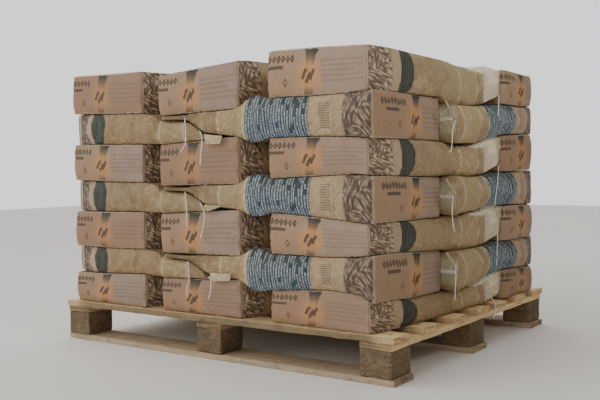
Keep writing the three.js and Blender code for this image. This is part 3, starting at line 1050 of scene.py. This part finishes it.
# How freely each point of the paper moves: 0.5 on the end panel, and elsewhere from 0.1 where
# sacks lie on each other to 1 on the free sides
free = np.where(step_row == 0, 0.5, np.cos(angle) ** 0.5 * 0.9 + 0.1)
SWELL_FRAMES = 16
SWELL_LIMIT = 0.007
SLACK = 0.003
STRETCH = 0.03
PRESSURE = 4
PANEL_HELD = 0.6


def swollen(points, quads, held):
    """How far each point of a sack's paper moves as the pellets press it out: a cloth simulation
    in which the paper is a little larger than its shape and swells under an even pressure, without
    gravity, while the held points stay put. No point may move farther than the limit."""
    mesh = bpy.data.meshes.new("filling")
    mesh.from_pydata(points.tolist(), [], quads.tolist())
    sack = bpy.data.objects.new("filling", mesh)
    bpy.context.scene.collection.objects.link(sack)
    group = sack.vertex_groups.new(name="held")
    tenths = np.round(held * 10).astype(int)
    for level in np.unique(tenths):
        group.add(np.flatnonzero(tenths == level).tolist(), level / 10, "REPLACE")
    cloth = sack.modifiers.new("pressure", "CLOTH")
    paper = cloth.settings
    paper.quality, paper.mass, paper.air_damping = 5, 0.15, 2
    paper.tension_stiffness = paper.compression_stiffness = 40
    paper.shear_stiffness, paper.bending_stiffness = 20, 1
    paper.shrink_min = paper.shrink_max = -STRETCH
    paper.use_pressure, paper.uniform_pressure_force = True, PRESSURE
    paper.effector_weights.gravity = 0
    paper.vertex_group_mass, paper.pin_stiffness = "held", 1
    cloth.collision_settings.use_collision = False
    cloth.point_cache.frame_start, cloth.point_cache.frame_end = 1, SWELL_FRAMES
    for frame_number in range(1, SWELL_FRAMES + 1):
        bpy.context.scene.frame_set(frame_number)
    pressed = sack.evaluated_get(bpy.context.evaluated_depsgraph_get()).data
    result = np.empty(points.size, np.float32)
    pressed.vertices.foreach_get("co", result)
    bpy.data.objects.remove(sack, do_unlink=True)
    bpy.data.meshes.remove(mesh)
    bpy.context.scene.frame_set(1)
    moved = result.reshape(-1, 3) - points
    far = np.linalg.norm(moved, axis=1)[:, None]
    return moved * np.minimum(1, SWELL_LIMIT / np.maximum(far, 1e-9))


def swell_of_plan(plan, layer):
    """The swelling of the sacks laid to a plan, worked out once in one of its layers. The paper is
    held where sacks lie on each other and at the end panel, and let go on the free sides."""
    smooth, _, _ = sack_points(plan, layer, [])
    slack = outward(smooth, skin_quads) * (SLACK * free)[:, None]
    held = np.where(step_row == 0, PANEL_HELD, 1 - 0.95 * np.cos(angle) ** 0.7)
    return swollen(smooth - slack, skin_quads, held) - slack


PRINT_SLIP = 0.014
DENTS = ((0.0016, 0.11), (0.0007, 0.045))
RIDGE, RIDGE_LENGTH, RIDGE_WAVES = 0.0012, 0.16, 7
WELT, WELT_WIDTH = 0.0022, 0.008
LOWER_DRAWN_FROM, OTHERS_DRAWN_FROM = 0.0, 0.2
STRIP_PAINT = {"to_mouth": 0.05, "folded": 0.5, "inner": 0.25, "dirt": 0.0}
LOT_SCATTER = 12.9898
SHARP_PAPER = 50


def lay_sack(node, plan, layer, presses, swell, seed):
    """A sack in its CAD solid's place: its skin as it swells, moved in and out along its normals by
    slow dents, by ridges and by the welts of two folds, more on the free sides than where sacks
    lie on each other. The print has slipped on the middle one of three end-on sacks in front."""
    mouth, *_, folds = plan
    first_fold, last_fold = np.array(folds) / 1000
    smooth, distance, last = sack_points(plan, layer, presses)
    from_mouth = last - distance
    dents = sum(
        depth * waves(smooth, seed + number, length) for number, (depth, length) in enumerate(DENTS)
    )
    near_mouth = np.clip((distance - last + 0.24) / 0.2, 0, 1)
    ridges = 0.7 - np.abs(waves(smooth, seed + 2, RIDGE_LENGTH, RIDGE_WAVES))
    ridges = RIDGE * ridges * (0.6 + 1.6 * near_mouth)
    welts = sum(
        WELT * np.exp(-(((distance - fold) / WELT_WIDTH) ** 2)) for fold in (first_fold, last_fold)
    )
    relief = ((dents + ridges + welts) * free)[:, None]
    points = smooth + swell + outward(smooth, skin_quads) * relief
    quads = skin_quads
    slip = PRINT_SLIP if node.endswith("front_middle") else 0.0
    drawn_from = LOWER_DRAWN_FROM if mouth is LOWER_MOUTH else OTHERS_DRAWN_FROM
    chart = print_chart(smooth, distance, drawn_from, slip)
    painted = {
        "lot": np.full(len(points), math.sin(seed * LOT_SCATTER)),
        "to_mouth": from_mouth,
        "folded": (distance - first_fold) / (last_fold - first_fold),
        "inner": pale_ply_and_painted_light(mouth, distance, from_mouth),
        # Where the sack gets painted shade: no painted light on the pellets of its right side, and
        # the ply of a pinched mouth's end painted grey-green
        "dirt": (mouth is LOWER_MOUTH) + (mouth is PINCHED_MOUTH) * (from_mouth < 0.06),
    }
    strip = joined_strip(mouth, layer)
    if strip is not None:
        quads = np.vstack([quads, strip_quads + len(points)])
        strip_chart = STRIP_CHART + STRIP_CHART_STEP * strip_steps[strip_quads][..., :2]
        chart = np.concatenate([chart, strip_chart])
        for name, values in painted.items():
            added_paint = np.full(len(strip), STRIP_PAINT.get(name, values[0]))
            painted[name] = np.concatenate([values, added_paint])
        points = np.vstack([points, strip])
    piece = mesh_piece(node + "_paper", points, quads, paper_finish, SHARP_PAPER)
    mesh = piece.data
    mesh.uv_layers.new(name="print").data.foreach_set("uv", chart.astype(np.float32).ravel())
    for name, values in painted.items():
        layer_data = mesh.attributes.new(name, "FLOAT", "POINT").data
        layer_data.foreach_set("value", values.astype(np.float32))
    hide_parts(node)


# The filling of a sack with an upper mouth presses out at one spot of its outer edge, down on the
# layer below and up under the layer above: the spot, how far each press reaches in x and in y, and
# how far it goes.
PRESSED_SPOT = (0.160, -0.480)
UNDERSIDE_PRESS = (0.040, 0.12, -0.016)
TOP_PRESS = (0.038, 0.12, 0.020)
kinds = [
    (plans, {name: swell_of_plan(plan, layer) for name, plan in plans.items()})
    for plans, layer in ((ODD_LAYER, 3), (EVEN_LAYER, 4))
]
for layer in range(1, 8):
    side = -1 if layer % 2 else 1
    spot = [place * side for place in PRESSED_SPOT]
    plans, swells = kinds[0 if layer % 2 else 1]
    for place, (name, plan) in enumerate(plans.items()):
        presses = []
        if plan[0] is UPPER_MOUTH:
            presses += [(*spot, *UNDERSIDE_PRESS)] if layer > 1 else []
            presses += [(*spot, *TOP_PRESS)] if layer < 7 else []
        seed = 100 * layer + 10 * place
        lay_sack(f"sack_{layer}_{name}", plan, layer, presses, swells[name], seed)

# Sewing threads.
# Each sack's mouth is sewn shut with a white cotton chain stitch, and the end of the chain hangs
# about ten centimetres down from the mouth's corner. It is a limp thread of three millimetres.
THREAD_DIAMETER = 0.0030
THREAD_RINGS = 36
THREAD_SIDES = 6
STRETCH_POINTS = 24
LOOP_TURN = 2.1
NO_THREADS_WAY = (0.83, 0.55, 0.1)


def rounded_path(marks, count):
    """count points along the marks: each stretch is the cubic that leaves and reaches its marks
    in the direction from the mark before to the mark after, and the points are evenly spaced."""
    ends = np.vstack([2 * marks[0] - marks[1], marks, 2 * marks[-1] - marks[-2]])
    slope = (ends[2:] - ends[:-2]) / 2
    t = np.linspace(0, 1, STRETCH_POINTS, endpoint=False)[:, None]
    stretches = zip(marks[:-1], marks[1:], slope[:-1], slope[1:])
    fine = np.vstack([*(cubic(t, *stretch) for stretch in stretches), marks[-1:]])
    reach = np.concatenate([[0], np.cumsum(np.linalg.norm(np.diff(fine, axis=0), axis=1))])
    even = np.linspace(0, reach[-1], count)
    return np.column_stack([np.interp(even, reach, fine[:, axis]) for axis in range(3)])


def thread_tail(name, marks, material):
    """A thread along the marks: a ring of points is carried along the path, swells and shrinks by
    a fifth as the loops of the chain do, and closes to a point at both ends."""
    path = rounded_path(marks, THREAD_RINGS)
    tangent = unit(np.gradient(path, axis=0))
    across_one = unit(np.cross(tangent, NO_THREADS_WAY))
    across_two = np.cross(tangent, across_one)
    turn = np.linspace(0, 2 * math.pi, THREAD_SIDES, endpoint=False)[:, None]
    radius = THREAD_DIAMETER / 2 * (0.9 + 0.1 * np.cos(np.arange(THREAD_RINGS) * LOOP_TURN))
    ring = np.cos(turn) * across_one[:, None] + np.sin(turn) * across_two[:, None]
    tube = path[:, None] + radius[:, None, None] * ring
    points = np.vstack([tube.reshape(-1, 3), path[:1], path[-1:]])
    piece = mesh_piece(name, points, tube_faces(THREAD_RINGS, THREAD_SIDES), material)


def cotton():
    """White cotton chain, twisted: fine slanting turns darken it a little."""
    thread = Finish("white cotton thread", 0.85)
    turns = thread.cloud(thread.stretched(thread.place(), (1.0, 1.0, 2.0)), 900.0, 2.0)
    colour = thread.mix(turns, (250, 242, 234), (226, 212, 202))
    return thread.done(colour, Normal=thread.relief(turns, 0.0004))


# Where the tails hang, in millimetres: along the side they hang on, and the height. The two of an
# even layer's front, and the one of each layer's right side, were taken from the loaded pallet.
# The pallet is laid alike turned half round, so the back and the left side repeat them.
FRONT_TAILS = {
    6: (((-68, 683), (-65, 646), (-66, 612), (-74, 601), (-86, 587)),
        ((-12, 644), (-5, 630), (-5, 605), (-10, 577), (-12, 549))),
    4: (((-72, 473), (-67, 436), (-68, 404), (-69, 371)),
        ((-16, 444), (-8, 431), (0, 411), (-1, 392), (-6, 372), (-16, 343))),
    2: (((-66, 274), (-63, 230), (-72, 195), (-70, 172)),
        ((11, 236), (19, 225), (18, 196), (8, 171))),
}
RIGHT_TAILS = {
    7: ((142, 747), (139, 715), (139, 685), (148, 657)),
    6: ((-155, 661), (-172, 634), (-176, 601), (-185, 575), (-194, 578)),
    5: ((137, 535), (133, 506), (121, 462), (106, 418)),
    4: ((-172, 458), (-179, 417), (-173, 376), (-164, 357)),
    3: ((127, 336), (127, 312), (123, 282), (118, 236)),
    2: ((-160, 266), (-160, 225), (-167, 171)),
    1: ((81, 143), (102, 125), (110, 103), (95, 81)),
}
BACK_LIKE_FRONT = {1: 2, 3: 4, 5: 6, 7: 4}
LEFT_LIKE_RIGHT = {7: 6, 6: 7, 5: 6, 4: 5, 3: 4, 2: 3, 1: 2}
FRONT_TAIL_Y = -0.5065
RIGHT_TAIL_X = 0.6020
LEFT_TAIL_X = (-0.5925, -0.6020)


def tail_marks(marks, side, from_layer, to_layer):
    """A tail's marks in space: on the front or right side as they are, or on the back or left side
    turned half round and moved to the height of another layer."""
    marks = np.array(marks, float) / 1000
    turned = -1 if side in ("back", "left") else 1
    height = marks[:, 1] + LAYER_MIDDLES[to_layer] - LAYER_MIDDLES[from_layer]
    if side in ("front", "back"):
        return np.column_stack([
            turned * marks[:, 0], np.full(len(marks), turned * FRONT_TAIL_Y), height
        ])
    x = RIGHT_TAIL_X if side == "right" else LEFT_TAIL_X[to_layer % 2]
    return np.column_stack([np.full(len(marks), x), turned * marks[:, 0], height])


cotton_finish = cotton()
end_tails = [("front", layer, layer) for layer in FRONT_TAILS]
end_tails += [("back", *layers) for layers in BACK_LIKE_FRONT.items()]
for side, layer, source in end_tails:
    for letter, marks in zip("ab", FRONT_TAILS[source]):
        marks = tail_marks(marks, side, source, layer)
        thread_tail(f"thread_{layer}_{side}_{letter}", marks, cotton_finish)
for layer in RIGHT_TAILS:
    for side, source in (("right", layer), ("left", LEFT_LIKE_RIGHT[layer])):
        marks = tail_marks(RIGHT_TAILS[source], side, source, layer)
        thread_tail(f"thread_{layer}_{side}", marks, cotton_finish)

# Floor and light.
# A plain pale floor. The studio's walls give soft light from all round, less and a little warmer
# from the right. A wide soft lamp stands in front to the left, one by the camera reaches into the
# gaps between the sacks, and a small cool one above the right side lights its top layers.
FLOOR_REACH = 8
LEFT_WALL = (1.30, 1.30, 1.30, 1.0)
RIGHT_WALL = (0.14, 0.11, 0.085, 1.0)
LOAD_MIDDLE = (0.0, 0.0, 0.4)


def pale_floor():
    """Pale paint, hardly mottled."""
    finish = Finish("pale floor", 0.9)
    speck = finish.cloud(finish.place(), 3.0, 2.0)
    return finish.done(finish.mix(speck, (232, 229, 223), (237, 234, 228)))


ground = bpy.data.meshes.new("floor")
corners = [(x * FLOOR_REACH, y * FLOOR_REACH, 0) for x, y in ((-1, -1), (1, -1), (1, 1), (-1, 1))]
ground.from_pydata(corners, [], [(0, 1, 2, 3)])
ground.materials.append(pale_floor())
floor = bpy.data.objects.new("floor", ground)
bpy.context.scene.collection.objects.link(floor)


def studio_walls():
    """The light from all round: from the brightness on the left to that on the right, by how far
    a direction points to the right."""
    world = bpy.data.worlds.new("studio")
    world.use_nodes = True
    tree = world.node_tree
    toward = added(tree, "TexCoord", {}, "Generated")
    rightness = added(tree, "SeparateXYZ", {0: toward}, "X").over(0.25, 0.50)
    walls = {0: rightness, 6: LEFT_WALL, 7: RIGHT_WALL}
    fill(tree.nodes["Background"], {"Color": added(tree, "Mix", walls, 2, data_type="RGBA")})
    return world


def soft_light(name, power, size, stand, aim=LOAD_MIDDLE, spread=180, tint=(1.0, 1.0, 1.0)):
    """A square lamp at its stand, turned to shine at its aim."""
    lamp = bpy.data.lights.new(name, "AREA")
    lamp.energy, lamp.size, lamp.spread, lamp.color = power, size, math.radians(spread), tint
    made = bpy.data.objects.new(name, lamp)
    turned = (Vector(aim) - Vector(stand)).to_track_quat("-Z", "Y")
    made.matrix_world = Matrix.LocRotScale(Vector(stand), turned, None)
    bpy.context.scene.collection.objects.link(made)


bpy.context.scene.world = studio_walls()
soft_light("daylight", power=65.0, size=4.0, stand=(-3.0, -4.4, 3.3))
soft_light("fill", power=30.0, size=2.5, stand=(2.5, -4.4, 1.5))
soft_light("skylight", power=2.2, size=1.0, stand=(2.3, -0.3, 2.1), aim=(0.6, -0.1, 1.08),
           spread=42, tint=(0.88, 0.96, 1.0))
